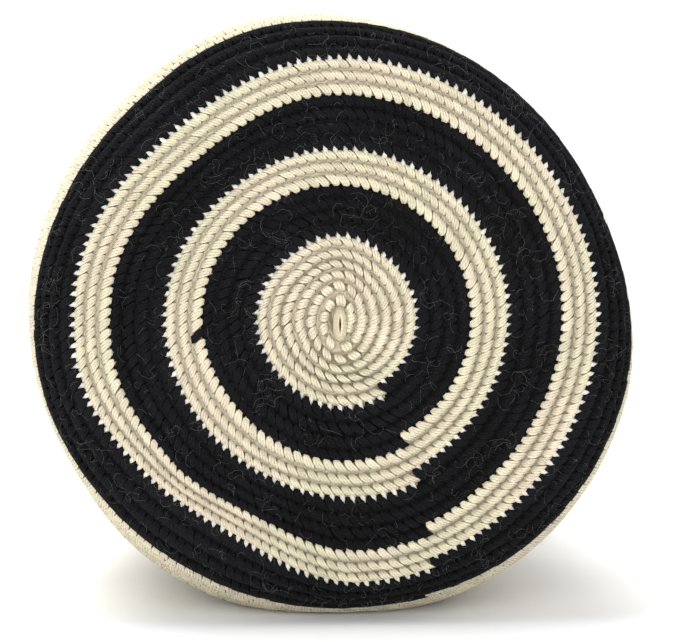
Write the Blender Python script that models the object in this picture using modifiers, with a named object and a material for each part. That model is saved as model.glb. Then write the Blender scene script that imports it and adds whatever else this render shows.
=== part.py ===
"""Crocheted mochila bag lying on its side, with its strap, drawstring and two tassels.

Metres, +Z up. The bag lies on its wall: the round base faces -Y, the mouth opens towards +Y,
and the strap runs out of the mouth and lies on the floor behind it. The origin is on the
floor, below the middle of everything.

The bag's fabric is one sheet worked in rounds from the middle of the base to the rim. A place
on it is given by two numbers: how far it is from the middle of the base along the fabric, and
its angle around the bag, counterclockwise from +X as the base is looked at.
"""

import math

import bmesh
import bpy
from mathutils import Matrix, Vector

# Rounds of crochet, from the middle of the base outwards
START_LOOP = 0.0014
CREAM_ROUND = 0.0049
BLACK_ROUND = 0.0055
WALL_ROUND = 0.0050
BASE_RINGS = (("cream", 6), ("black", 4), ("cream", 3), ("black", 4), ("cream", 3), ("black", 4))
WALL_ROUNDS = 54
FABRIC = 0.0044

# How the fabric turns from base to wall
DOME = math.radians(5)
EDGE_START = 0.1005
EDGE_TURN = 0.036
EDGE_SLOPE = math.radians(80)
BELLY_TURN = 0.060
NECK_SLOPE = math.radians(94)
NECK_TURN = 0.100
FLOOR_ROLL = 0.0065
SIDE_ROLL = 0.0050
FLOOR_BULGE = math.radians(12)
FLOOR_SIDE, FLOOR_SPREAD = 272, 75
LOOSE_SIDE, LOOSE_SPREAD = 28, 80

# How the bag sags as it lies
AXIS_HEIGHT = 0.124
SAG_START = 0.090
SAG_RUN = 0.180
MOUTH_WIDTH = 0.83
MOUTH_HEIGHT = 0.70
MOUTH_SQUARENESS = 2.8
MOUTH_LIFT = 0.012
FLOOR_SINK = 0.005

# Eyelets and drawstring
EYELETS_PER_SIDE = 8
EYELET_RADIUS = 0.0058
EYELET_INSET = 0.030
EYELET_REACH = math.radians(66)
CORD_RADIUS = 0.0025
CORD_CLEARANCE = 0.0011
CORD_STEP = 0.0065
CORD_LEAN = 0.32
CORD_CROSSING = 0.3

# Strap
STRAP_WIDTH = 0.065
STRAP_THICK = 0.0032
STRAP_DRIFT = 0.016
STRAP_TUCK = 0.055
STRAP_CLEARANCE = 0.0032
STRAP_REACH = 0.400

# Tassels
TASSEL_LENGTH = 0.060
TASSEL_HEAD = 0.0062
TASSEL_NECK = 0.0042
TASSEL_SKIRT = 0.0105
BINDING_LENGTH = 0.0075
BINDING_RADIUS = 0.0066
TAIL_DROP = 0.015
TAIL_SIDE = 0.0135
TAIL_STAND = 0.0125
TAIL_BEND = 0.0105
TAIL_BEND_OUT = Vector((0, 0.0070, 0))
TAIL_BEND_DROP = Vector((0, 0, -0.001))
TAIL_RISE = Vector((0, 0, 0.0065))

GAP = 0.0003
COLUMNS = 40
CURVE_SAMPLES = 24
ANGLE_STEP = 0.01

COLLECTION = "mochila_bag"
CREAM = ("cream_yarn", (0.60, 0.53, 0.40), 0.95)
BLACK = ("black_yarn", (0.010, 0.010, 0.012), 0.95)
STRAP_YARN = ("strap_yarn", (0.60, 0.53, 0.40), 0.92)
CORD_YARN = ("cord_yarn", (0.58, 0.51, 0.38), 0.90)
TASSEL_YARN = ("tassel_yarn", (0.61, 0.54, 0.41), 0.95)
BINDING_YARN = ("binding_yarn", (0.012, 0.012, 0.014), 0.90)


def clear_scene():
    """Removes every object that is in the file."""
    for old in list(bpy.data.objects):
        bpy.data.objects.remove(old)


def new_collection(name):
    """Makes a collection under the scene's own."""
    made = bpy.data.collections.new(name)
    bpy.context.scene.collection.children.link(made)
    return made


def material(name, colour, roughness):
    """A plain matt yarn."""
    made = bpy.data.materials.new(name)
    made.use_nodes = True
    shader = made.node_tree.nodes["Principled BSDF"]
    shader.inputs["Base Color"].default_value = (*colour, 1.0)
    shader.inputs["Roughness"].default_value = roughness
    shader.inputs["Metallic"].default_value = 0.0
    return made


def smooth(value):
    """Runs from 0 to 1 as value does, with level ends."""
    value = min(max(value, 0.0), 1.0)
    return value * value * (3 - 2 * value)


def near(angle, centre, spread):
    """1 at an angle around the bag, fading to 0 at spread on either side of it, in degrees."""
    off = (math.degrees(angle) - centre + 180) % 360 - 180
    return smooth(1 - abs(off) / spread)


def base_length():
    """How far along the fabric the base's last black round ends."""
    heights = {"cream": CREAM_ROUND, "black": BLACK_ROUND}
    return START_LOOP + sum(heights[yarn] * rounds for yarn, rounds in BASE_RINGS)


def fabric_length():
    """How far along the fabric the rim is."""
    return base_length() + WALL_ROUNDS * WALL_ROUND


def slope(along, angle):
    """How far the fabric has turned from the plane of the base."""
    floor = near(angle, FLOOR_SIDE, FLOOR_SPREAD)
    loose = near(angle, LOOSE_SIDE, LOOSE_SPREAD)
    start = EDGE_START - FLOOR_ROLL * floor - SIDE_ROLL * loose
    edge = EDGE_SLOPE - FLOOR_BULGE * floor
    tilt = DOME * smooth(along / start)
    tilt += (edge - DOME) * smooth((along - start) / EDGE_TURN)
    belly = start + EDGE_TURN
    tilt += (math.pi / 2 - edge) * smooth((along - belly) / BELLY_TURN)
    neck = belly + BELLY_TURN
    return tilt + (NECK_SLOPE - math.pi / 2) * smooth((along - neck) / NECK_TURN)


def unsagged(along, angle, step=0.001):
    """Radius and depth of a place on the fabric, before the bag sags."""
    steps = max(1, round(along / step))
    each = along / steps
    radius = sum(math.cos(slope((i + 0.5) * each, angle)) for i in range(steps)) * each
    depth = sum(math.sin(slope((i + 0.5) * each, angle)) for i in range(steps)) * each
    return radius, depth


def fabric_point(along, angle):
    """Where a place on the outside of the fabric lies, with the base's middle at Y = 0."""
    radius, depth = unsagged(along, angle)
    sag = smooth((depth - SAG_START) / SAG_RUN)
    power = 2 + (MOUTH_SQUARENESS - 2) * sag
    across, up = math.cos(angle), math.sin(angle)
    radius /= (abs(across) ** power + abs(up) ** power) ** (1 / power)
    width = 1 - (1 - MOUTH_WIDTH) * sag
    height = 1 - (1 - MOUTH_HEIGHT) * sag
    lowest = MOUTH_LIFT * sag - FLOOR_SINK * (1 - sag)
    middle = lowest + (AXIS_HEIGHT + FLOOR_SINK) * height
    return Vector((radius * across * width, depth, max(middle + radius * up * height, 0.0)))


def fabric_normal(along, angle, step=0.002):
    """The direction out of the fabric at a place on it."""
    down = fabric_point(along + step, angle) - fabric_point(along - step, angle)
    around = fabric_point(along, angle + step) - fabric_point(along, angle - step)
    return down.cross(around).normalized()


def off_fabric(along, angle, height, shift=0.0):
    """A point that stands off the fabric's outside, shifted a distance around the bag."""
    before = fabric_point(along, angle - ANGLE_STEP)
    after = fabric_point(along, angle + ANGLE_STEP)
    around = (after - before).length / (2 * ANGLE_STEP)
    shifted = angle + shift / around
    return fabric_point(along, shifted) + fabric_normal(along, shifted) * height


def smooth_route(points, step):
    """Points a step apart on a smooth curve through the given ones."""
    fine = []
    for i in range(len(points) - 1):
        before = points[max(i - 1, 0)]
        start, end = points[i], points[i + 1]
        after = points[min(i + 2, len(points) - 1)]
        for j in range(CURVE_SAMPLES):
            t = j / CURVE_SAMPLES
            fine.append(
                0.5 * (2 * start + (end - before) * t
                       + (2 * before - 5 * start + 4 * end - after) * t * t
                       + (3 * start - before - 3 * end + after) * t * t * t)
            )
    fine.append(points[-1])
    lengths = [0.0]
    for first, second in zip(fine, fine[1:]):
        lengths.append(lengths[-1] + (second - first).length)
    count = round(lengths[-1] / step)
    even, at = [], 0
    for i in range(count + 1):
        wanted = lengths[-1] * i / count
        while at < len(fine) - 2 and lengths[at + 1] < wanted:
            at += 1
        share = (wanted - lengths[at]) / (lengths[at + 1] - lengths[at])
        even.append(fine[at].lerp(fine[at + 1], min(share, 1.0)))
    return even


def sheet(name, rows, columns, place, closed=False):
    """A sheet of fabric with no thickness: a grid whose point (row, column) goes to its place."""
    grid = bmesh.new()
    bmesh.ops.create_grid(grid, x_segments=columns, y_segments=rows, size=0.5)
    for point in grid.verts:
        column = round((point.co.x + 0.5) * columns)
        row = round((point.co.y + 0.5) * rows)
        point.co = place(row, column)
    if closed:
        bmesh.ops.remove_doubles(grid, verts=grid.verts, dist=0.00001)
    mesh = bpy.data.meshes.new(name)
    grid.to_mesh(mesh)
    grid.free()
    mesh.shade_smooth()
    return mesh


def add_part(parts, name, mesh, *materials):
    """Puts a mesh in the scene as one named sub-part."""
    part = bpy.data.objects.new(name, mesh)
    parts.objects.link(part)
    for made in materials:
        part.data.materials.append(made)
    return part


def thicken(part, thickness, offset):
    """Gives a sheet its thickness."""
    solid = part.modifiers.new("thickness", "SOLIDIFY")
    solid.thickness = thickness
    solid.offset = offset
    solid.use_even_offset = True
    solid.use_rim = True


def fabric_stations():
    """Distances along the fabric of the sheet's rows: closest where the base's edge turns."""
    flat = [base_length() * i / 12 for i in range(10)]
    turn_start, turn_end = flat[-1], base_length() + 4 * WALL_ROUND
    turning = [turn_start + (turn_end - turn_start) * i / 10 for i in range(1, 11)]
    wall = [turn_end + (fabric_length() - turn_end) * i / 14 for i in range(1, 15)]
    return flat + turning + wall


def yarn_at(along):
    """Which yarn a place on the fabric is worked in: 0 for cream, 1 for black."""
    edge = START_LOOP
    for yarn, rounds in BASE_RINGS:
        edge += rounds * (CREAM_ROUND if yarn == "cream" else BLACK_ROUND)
        if along < edge:
            return 0 if yarn == "cream" else 1
    return 0


def colour_rings(mesh):
    """Works each ring of the base in its own yarn."""
    edge_depth = fabric_point(base_length(), 0.0).y
    for face in mesh.polygons:
        reach = math.hypot(face.center.x, face.center.z - AXIS_HEIGHT)
        face.material_index = yarn_at(reach) if face.center.y < edge_depth else 0


def eyelet_angles():
    """Angles of the eyelets round the rim, from the right-hand side counterclockwise."""
    step = 2 * EYELET_REACH / (EYELETS_PER_SIDE - 1)
    right = [-EYELET_REACH + step * i for i in range(EYELETS_PER_SIDE)]
    left = [math.pi + angle for angle in right]
    half = EYELETS_PER_SIDE // 2
    return right[half:] + left + [2 * math.pi + angle for angle in right[:half]]


def eyelet_along():
    """How far along the fabric the eyelets are."""
    return fabric_length() - EYELET_INSET


def make_eyelet_cutters(cutters):
    """Round bars through the fabric, one for each eyelet, in one object."""
    bars = bmesh.new()
    for angle in eyelet_angles():
        middle = off_fabric(eyelet_along(), angle, -FABRIC / 2)
        normal = fabric_normal(eyelet_along(), angle)
        turn = normal.to_track_quat("Z", "Y").to_matrix().to_4x4()
        bmesh.ops.create_cone(
            bars, cap_ends=True, segments=14, radius1=EYELET_RADIUS, radius2=EYELET_RADIUS,
            depth=4 * FABRIC, matrix=Matrix.Translation(middle) @ turn,
        )
    mesh = bpy.data.meshes.new("eyelet_cutters")
    bars.to_mesh(mesh)
    bars.free()
    cutter = bpy.data.objects.new("eyelet_cutters", mesh)
    cutters.objects.link(cutter)
    cutter.hide_render = True
    cutter.display_type = "WIRE"
    return cutter


def make_bag_body(parts, cutters):
    """Base, wall and rim: one sheet of crochet, open at the mouth, with eyelets near the rim."""
    stations = fabric_stations()
    full_turn = 2 * math.pi

    def place(row, column):
        return fabric_point(stations[row], -full_turn * (column % COLUMNS) / COLUMNS)

    mesh = sheet("bag_body", len(stations) - 1, COLUMNS, place, closed=True)
    body = add_part(parts, "bag_body", mesh, material(*CREAM), material(*BLACK))
    colour_rings(mesh)
    thicken(body, FABRIC, -1)
    holes = body.modifiers.new("eyelets", "BOOLEAN")
    holes.operation = "DIFFERENCE"
    holes.solver = "EXACT"
    holes.object = make_eyelet_cutters(cutters)
    return body


def strap_route():
    """The strap's middle line: from inside the top of the rim, down and out over the floor,
    round a fold, and back under itself to the inside of the bottom of the rim."""
    stand = FABRIC + GAP + STRAP_THICK / 2
    upper_lip = fabric_point(fabric_length(), math.pi / 2)
    lower_lip = fabric_point(fabric_length(), -math.pi / 2)
    top = upper_lip.z - stand - STRAP_CLEARANCE
    bottom = lower_lip.z + stand + STRAP_CLEARANCE
    mouth, lip = upper_lip.y, lower_lip.y
    floor = STRAP_THICK / 2
    fold = mouth + STRAP_REACH
    route = [
        (mouth - STRAP_TUCK, top + 0.004), (mouth - 0.028, top + 0.001), (mouth - 0.006, top - 0.001),
        (mouth + 0.016, top - 0.006), (mouth + 0.040, top - 0.026), (mouth + 0.060, top - 0.062),
        (mouth + 0.078, top - 0.105), (mouth + 0.101, top - 0.142), (mouth + 0.140, 0.018),
        (mouth + 0.190, 0.0085), (mouth + 0.240, 0.0095), (mouth + 0.290, 0.0085),
        (mouth + 0.340, 0.0110), (fold - 0.026, 0.0175), (fold - 0.008, 0.0175),
        (fold, 0.0100), (fold - 0.010, 0.0030), (fold - 0.030, floor), (mouth + 0.320, floor),
        (mouth + 0.240, floor), (mouth + 0.150, floor), (mouth + 0.070, floor),
        (lip + 0.044, 0.0040), (lip + 0.024, bottom - 0.014), (lip + 0.004, bottom),
        (lip - 0.028, bottom + 0.0005), (lip - STRAP_TUCK, bottom),
    ]
    line = smooth_route([Vector((0, along, up)) for along, up in route], 0.012)
    return [Vector((0, point.y, max(point.z, floor))) for point in line]


def make_strap(parts):
    """A flat woven band that hangs from the rim and lies on the floor in one fold."""
    route = strap_route()
    last = len(route) - 1
    columns = 2

    def place(row, column):
        drift = STRAP_DRIFT * smooth(2 * min(row, last - row) / last)
        across = STRAP_WIDTH * (column / columns - 0.5)
        return route[row] + Vector((drift + across, 0, 0))

    strap = add_part(parts, "shoulder_strap", sheet("shoulder_strap", last, columns, place),
                     material(*STRAP_YARN))
    thicken(strap, STRAP_THICK, 0)
    return strap


def tassel_tops():
    """Where the two tassels' heads begin, with the way each leans along the bag."""
    angles = eyelet_angles()
    tops = []
    for angle, way in ((angles[0], -1), (angles[-1], 1)):
        hole = off_fabric(eyelet_along(), angle, TAIL_STAND)
        tops.append(hole + Vector((0, way * TAIL_SIDE, -TAIL_DROP)))
    return tops


def drawstring_route():
    """The cord's middle line, from one tassel in and out of every eyelet to the other."""
    along = eyelet_along()
    outside = CORD_RADIUS + CORD_CLEARANCE
    inside = -FABRIC - outside
    angles = eyelet_angles()
    points = []
    for i, angle in enumerate(angles):
        first, second = (outside, inside) if i % 2 == 0 else (inside, outside)
        middle = (first + second) / 2
        lean = (second - first) * CORD_LEAN
        points.append(off_fabric(along, angle, first, -CORD_STEP))
        points.append(off_fabric(along, angle, middle - lean, -CORD_STEP * CORD_CROSSING))
        points.append(off_fabric(along, angle, middle + lean, CORD_STEP * CORD_CROSSING))
        points.append(off_fabric(along, angle, second, CORD_STEP))
        if i + 1 < len(angles):
            spans = 4 if angles[i + 1] - angle > math.radians(30) else 2
            for j in range(1, spans):
                between = angle + (angles[i + 1] - angle) * j / spans
                points.append(off_fabric(along, between, second))
    upper, lower = tassel_tops()
    first_bend = off_fabric(along, angles[0], TAIL_BEND) - TAIL_BEND_OUT + TAIL_BEND_DROP
    last_bend = off_fabric(along, angles[-1], TAIL_BEND) + TAIL_BEND_OUT + TAIL_BEND_DROP
    head = [upper, upper + TAIL_RISE, first_bend]
    tail = [last_bend, lower + TAIL_RISE, lower]
    return head + points[1:-1] + tail


def make_drawstring(parts):
    """A twisted cord laced through the eyelets."""
    curve = bpy.data.curves.new("drawstring", "CURVE")
    curve.dimensions = "3D"
    curve.bevel_depth = CORD_RADIUS
    curve.bevel_resolution = 2
    curve.use_fill_caps = True
    route = drawstring_route()
    line = curve.splines.new("POLY")
    line.points.add(len(route) - 1)
    for point, place in zip(line.points, route):
        point.co = (*place, 1.0)
    return add_part(parts, "drawstring", curve, material(*CORD_YARN))


def profile_mesh(name, outline):
    """A turned shape's outline: edges through points of (radius, height), top to bottom."""
    mesh = bpy.data.meshes.new(name)
    edges = [(i, i + 1) for i in range(len(outline) - 1)]
    mesh.from_pydata([(radius, 0, height) for radius, height in outline], edges, [])
    return mesh


def sweep_round(part):
    """Sweeps a part's profile into a closed solid round its own axis."""
    screw = part.modifiers.new("turn", "SCREW")
    screw.steps = 16
    screw.render_steps = 16
    screw.use_merge_vertices = True
    screw.merge_threshold = 0.00001
    screw.use_smooth_shade = True


def make_tassel(parts, name, top):
    """A bundle of yarn folded over the end of the cord, hanging head up from it."""
    skirt_top = -2 * TASSEL_HEAD - BINDING_LENGTH
    outline = [
        (0, -GAP), (0.6 * TASSEL_HEAD, -0.0012), (TASSEL_HEAD, -0.5 * TASSEL_HEAD),
        (TASSEL_HEAD, -1.2 * TASSEL_HEAD), (TASSEL_NECK, -2 * TASSEL_HEAD),
        (TASSEL_NECK, skirt_top), (0.7 * TASSEL_SKIRT, skirt_top - 0.004),
        (0.9 * TASSEL_SKIRT, skirt_top - 0.014), (TASSEL_SKIRT, -0.93 * TASSEL_LENGTH),
        (0.96 * TASSEL_SKIRT, -TASSEL_LENGTH), (0, -TASSEL_LENGTH),
    ]
    tassel = add_part(parts, name, profile_mesh(name, outline), material(*TASSEL_YARN))
    tassel.location = top
    sweep_round(tassel)
    return tassel


def make_binding(parts, name, tassel):
    """The yarn wound round a tassel's neck."""
    inner = TASSEL_NECK + GAP
    high, low = -2 * TASSEL_HEAD - GAP, -2 * TASSEL_HEAD - BINDING_LENGTH + GAP
    bevel = 0.0012
    outline = [
        (inner, high), (BINDING_RADIUS - bevel, high), (BINDING_RADIUS, high - bevel),
        (BINDING_RADIUS, low + bevel), (BINDING_RADIUS - bevel, low), (inner, low), (inner, high),
    ]
    binding = add_part(parts, name, profile_mesh(name, outline), material(*BINDING_YARN))
    binding.parent = tassel
    sweep_round(binding)
    return binding


def centre_on_floor(parts):
    """Moves everything so that the origin is on the floor below the middle of the whole."""
    bpy.context.view_layer.update()
    graph = bpy.context.evaluated_depsgraph_get()
    points = []
    for part in parts.objects:
        solid = part.evaluated_get(graph)
        points += [solid.matrix_world @ point.co for point in solid.to_mesh().vertices]
        solid.to_mesh_clear()
    low = [min(point[axis] for point in points) for axis in range(3)]
    high = [max(point[axis] for point in points) for axis in range(3)]
    middle = Vector(((low[0] + high[0]) / 2, (low[1] + high[1]) / 2, low[2]))
    anchor = bpy.data.objects.new("bag_origin", None)
    bpy.context.scene.collection.objects.link(anchor)
    for part in bpy.data.objects:
        if part != anchor and part.parent is None:
            part.parent = anchor
    anchor.location = -middle


def main():
    """Builds the bag and everything on it."""
    clear_scene()
    parts = new_collection(COLLECTION)
    cutters = new_collection("cutters")
    make_bag_body(parts, cutters)
    make_strap(parts)
    make_drawstring(parts)
    for name, top in zip(("upper_tassel", "lower_tassel"), tassel_tops()):
        tassel = make_tassel(parts, name, top)
        make_binding(parts, name + "_binding", tassel)
    centre_on_floor(parts)


main()
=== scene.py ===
"""Looks of the crocheted mochila bag: every stitch, its strap, drawstring and tassels.

Metres, +Z up. The bag lies on its wall, base towards -Y. Its crochet is one spiral of rounds from
the middle of the base to the rim. A place on the fabric has two numbers: how far it is from the
middle of the base along the fabric, and its angle, counterclockwise from +X seen from the base.
"""

import logging
import math
from dataclasses import dataclass, field
from enum import Enum
from typing import Sequence

import bmesh
import bpy
import numpy as np
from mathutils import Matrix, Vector

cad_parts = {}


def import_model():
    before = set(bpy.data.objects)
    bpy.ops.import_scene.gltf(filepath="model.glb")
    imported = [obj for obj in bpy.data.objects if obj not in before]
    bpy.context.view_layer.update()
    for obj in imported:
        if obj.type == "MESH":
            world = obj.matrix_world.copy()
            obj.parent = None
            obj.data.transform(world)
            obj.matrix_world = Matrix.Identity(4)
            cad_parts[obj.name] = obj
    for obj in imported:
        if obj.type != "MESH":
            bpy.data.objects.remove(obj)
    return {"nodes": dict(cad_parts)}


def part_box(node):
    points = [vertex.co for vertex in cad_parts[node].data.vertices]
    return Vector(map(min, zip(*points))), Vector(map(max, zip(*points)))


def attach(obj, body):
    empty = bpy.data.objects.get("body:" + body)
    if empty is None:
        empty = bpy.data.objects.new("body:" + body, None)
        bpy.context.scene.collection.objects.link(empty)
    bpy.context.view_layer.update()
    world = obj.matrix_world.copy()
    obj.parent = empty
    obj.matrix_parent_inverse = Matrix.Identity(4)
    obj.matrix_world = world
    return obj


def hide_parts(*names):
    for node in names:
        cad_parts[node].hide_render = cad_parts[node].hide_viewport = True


LOG = logging.getLogger("mochila")
FULL_TURN = 2 * math.pi
HAIR_SEED = 41
ABOVE_FLOOR = 0.0001
CURVE_SAMPLES = 24
GIRTH_POINTS = 181
NORMAL_STEP = 0.0016
ANGLE_STEP = 0.01
ACROSS = np.array([1.0, 0.0, 0.0])
UP = np.array([0.0, 0.0, 1.0])

# Noise scales of a yarn: the wobble of its twist, its nap, its drift of shade, its loose fibres
WOBBLE_SCALE, NAP_SCALE, DRIFT_SCALE, FIBRE_SCALE = 260.0, 2600.0, 26.0, 1500.0


class Yarn(Enum):
    """The two yarns that the bag is worked in."""

    CREAM = "cream"
    BLACK = "black"


def smooth(value: np.ndarray) -> np.ndarray:
    """Runs from 0 to 1 as value does, with level ends."""
    value = np.clip(value, 0.0, 1.0)
    return value * value * (3 - 2 * value)


def near(angle: np.ndarray, centre: float, spread: float) -> np.ndarray:
    """1 at an angle round the bag, fading to 0 at spread on either side of it, in degrees."""
    off = (np.degrees(angle) - centre + 180) % 360 - 180
    return smooth(1 - np.abs(off) / spread)


def unit(vectors: np.ndarray) -> np.ndarray:
    """The same directions, each of length 1."""
    return vectors / np.maximum(np.linalg.norm(vectors, axis=-1, keepdims=True), 1e-12)


@dataclass(frozen=True)
class Pucker:
    """One place where the base's rounds are drawn in or pushed out.

    Attributes:
        angle: Where it is round the bag, in degrees.
        reach: How far from the middle of the base, in metres.
        wide: How far it spreads round the bag on either side, in degrees.
        deep: How far it spreads towards and away from the middle, in metres.
        push: How far the rounds move outwards at its middle, in metres.
        dent: How far the fabric sinks in at its middle, in metres.
    """

    angle: float
    reach: float
    wide: float
    deep: float
    push: float
    dent: float = 0.0


BASE_PUCKERS = (
    Pucker(angle=247, reach=0.098, wide=27, deep=0.036, push=-0.0065),
    Pucker(angle=220, reach=0.098, wide=32, deep=0.036, push=-0.0044),
    Pucker(angle=232, reach=0.112, wide=44, deep=0.022, push=-0.0060),
    Pucker(angle=112, reach=0.140, wide=26, deep=0.040, push=0.0024),
    Pucker(angle=222, reach=0.050, wide=55, deep=0.055, push=-0.0020),
    Pucker(angle=130, reach=0.100, wide=42, deep=0.045, push=-0.0058),
    Pucker(angle=8, reach=0.090, wide=40, deep=0.050, push=0.0014),
    Pucker(angle=290, reach=0.085, wide=28, deep=0.045, push=0.0016),
    Pucker(angle=90, reach=0.030, wide=42, deep=0.030, push=0.0020),
    Pucker(angle=90, reach=0.009, wide=75, deep=0.020, push=0.0032),
    Pucker(angle=270, reach=0.009, wide=75, deep=0.020, push=0.0032),
    Pucker(angle=348, reach=0.140, wide=40, deep=0.045, push=0.0048),
    Pucker(angle=308, reach=0.140, wide=36, deep=0.045, push=0.0040),
    Pucker(angle=190, reach=0.140, wide=34, deep=0.040, push=0.0018),
    Pucker(angle=135, reach=0.190, wide=60, deep=0.075, push=-0.0040),
    Pucker(angle=18, reach=0.190, wide=50, deep=0.080, push=-0.0070),
    Pucker(angle=62, reach=0.190, wide=45, deep=0.080, push=-0.0045),
    Pucker(angle=200, reach=0.190, wide=34, deep=0.075, push=-0.0045),
)


@dataclass
class Fabric:
    """The shape of the crocheted sheet, as the frame's bag_body has it.

    Its sizes are the real bag's: the rounds, how the base turns into the wall, and how the whole
    sags as it lies on the floor. floor_side and loose_side are each an angle and a spread in
    degrees: where the base rolls onto the floor, and where it rolls over sooner.
    """

    origin: Vector
    start_loop: float = 0.0014
    cream_round: float = 0.0049
    black_round: float = 0.0055
    wall_round: float = 0.0050
    rings: tuple = ((Yarn.CREAM, 6), (Yarn.BLACK, 4), (Yarn.CREAM, 3), (Yarn.BLACK, 4),
                    (Yarn.CREAM, 3), (Yarn.BLACK, 4))
    wall_rounds: int = 54
    thickness: float = 0.0044
    dome: float = math.radians(5)
    edge_start: float = 0.1005
    edge_turn: float = 0.036
    edge_slope: float = math.radians(80)
    belly_turn: float = 0.060
    neck_slope: float = math.radians(94)
    neck_turn: float = 0.100
    floor_roll: float = 0.0065
    side_roll: float = 0.0050
    floor_bulge: float = math.radians(12)
    floor_side: tuple = (272, 75)
    loose_side: tuple = (28, 80)
    axis_height: float = 0.124
    sag_start: float = 0.090
    sag_run: float = 0.180
    mouth_width: float = 0.83
    mouth_height: float = 0.70
    mouth_squareness: float = 2.8
    mouth_lift: float = 0.012
    floor_sink: float = 0.005
    jog_angle: float = math.radians(306)
    jog_lean: float = math.radians(-0.75)
    puckers: tuple = BASE_PUCKERS
    step: float = 0.0005
    columns: int = 360
    radius_table: np.ndarray = field(init=False, repr=False)
    depth_table: np.ndarray = field(init=False, repr=False)

    def __post_init__(self) -> None:
        """Adds up the sheet's turning once, for every angle and distance."""
        count = int(self.length() / self.step) + 30
        middles = (np.arange(count)[:, None] + 0.5) * self.step
        angles = np.arange(self.columns)[None, :] * FULL_TURN / self.columns
        slope = self.slope(middles, angles)
        zero = np.zeros((1, self.columns))
        self.radius_table = np.vstack([zero, np.cumsum(np.cos(slope), axis=0) * self.step])
        self.depth_table = np.vstack([zero, np.cumsum(np.sin(slope), axis=0) * self.step])

    def round_heights(self) -> list:
        """Height and yarn of every round from the middle of the base to the rim."""
        heights = {Yarn.CREAM: self.cream_round, Yarn.BLACK: self.black_round}
        base = [(heights[yarn], yarn) for yarn, count in self.rings for _ in range(count)]
        return base + [(self.wall_round, Yarn.CREAM)] * self.wall_rounds

    def base_rounds(self) -> int:
        """How many rounds the base has."""
        return sum(count for _, count in self.rings)

    def length(self) -> float:
        """How far along the fabric the rim is."""
        return self.start_loop + sum(height for height, _ in self.round_heights())

    def round_edges(self) -> np.ndarray:
        """How far along the fabric each round begins, with the rim last."""
        heights = [height for height, _ in self.round_heights()]
        return self.start_loop + np.concatenate([[0.0], np.cumsum(heights)])

    def slope(self, along: np.ndarray, angle: np.ndarray) -> np.ndarray:
        """How far the fabric has turned from the plane of the base.

        Args:
            along: Distances along the fabric.
            angle: Angles round the bag.

        Returns:
            The slopes, in radians.
        """
        floor = near(angle, *self.floor_side)
        loose = near(angle, *self.loose_side)
        start = self.edge_start - self.floor_roll * floor - self.side_roll * loose
        edge = self.edge_slope - self.floor_bulge * floor
        belly = start + self.edge_turn
        neck = (along - belly - self.belly_turn) / self.neck_turn
        tilt = self.dome * smooth(along / start)
        tilt = tilt + (edge - self.dome) * smooth((along - start) / self.edge_turn)
        tilt = tilt + (math.pi / 2 - edge) * smooth((along - belly) / self.belly_turn)
        return tilt + (self.neck_slope - math.pi / 2) * smooth(neck)

    def read(self, table: np.ndarray, along: np.ndarray, angle: np.ndarray) -> np.ndarray:
        """Reads a table between its entries.

        Args:
            table: radius_table or depth_table.
            along: Distances along the fabric.
            angle: Angles round the bag.

        Returns:
            The value at each place.
        """
        row = np.clip(along / self.step, 0, len(table) - 1.001)
        column = (angle / FULL_TURN * self.columns) % self.columns
        top, left = row.astype(int), column.astype(int) % self.columns
        right = (left + 1) % self.columns
        down, across = row - top, column - np.floor(column)
        upper = table[top, left] * (1 - across) + table[top, right] * across
        lower = table[top + 1, left] * (1 - across) + table[top + 1, right] * across
        return upper * (1 - down) + lower * down

    def point(self, along: np.ndarray, angle: np.ndarray) -> np.ndarray:
        """Where places on the fabric's outside lie, in the row frame.

        Args:
            along: Distances along the fabric.
            angle: Angles round the bag.

        Returns:
            Points, one row of x, y, z for each place.
        """
        along, angle = np.broadcast_arrays(np.asarray(along, float), np.asarray(angle, float))
        radius = self.read(self.radius_table, along, angle)
        depth = self.read(self.depth_table, along, angle)
        for pucker in self.puckers:
            share = near(angle, pucker.angle, pucker.wide)
            share = share * smooth(1 - np.abs(along - pucker.reach) / pucker.deep)
            radius = radius + pucker.push * share
            depth = depth + pucker.dent * share
        sag = smooth((depth - self.sag_start) / self.sag_run)
        power = 2 + (self.mouth_squareness - 2) * sag
        across, up = np.cos(angle), np.sin(angle)
        radius = radius / (np.abs(across) ** power + np.abs(up) ** power) ** (1 / power)
        width = 1 - (1 - self.mouth_width) * sag
        height = 1 - (1 - self.mouth_height) * sag
        lowest = self.mouth_lift * sag - self.floor_sink * (1 - sag)
        middle = lowest + (self.axis_height + self.floor_sink) * height
        raised = np.maximum(middle + radius * up * height, 0.0)
        return np.stack([radius * across * width, depth, raised], axis=-1) + np.array(self.origin)

    def normal(self, along: np.ndarray, angle: np.ndarray) -> np.ndarray:
        """The direction out of the fabric at each place."""
        turn = NORMAL_STEP / np.maximum(along, 5 * NORMAL_STEP)
        before, after = np.maximum(along - NORMAL_STEP, 0), along + NORMAL_STEP
        down = self.point(after, angle) - self.point(before, angle)
        around = self.point(along, angle + turn) - self.point(along, angle - turn)
        return unit(np.cross(down, around))

    def girth(self, along: float) -> float:
        """The distance once round the bag at one distance along the fabric."""
        line = self.point(along, np.linspace(0, FULL_TURN, GIRTH_POINTS))
        return float(np.linalg.norm(np.diff(line, axis=0), axis=1).sum())

    def spiral(self, turns: np.ndarray) -> tuple:
        """A place on the spiral of rounds.

        Args:
            turns: How many rounds have been worked, whole and part.

        Returns:
            Distances along the fabric to the round's lower edge, and angles round the bag.
        """
        edges = self.round_edges()
        along = np.interp(turns, np.arange(len(edges)), edges)
        return along, self.jog_angle + self.jog_lean * turns + FULL_TURN * turns


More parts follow.
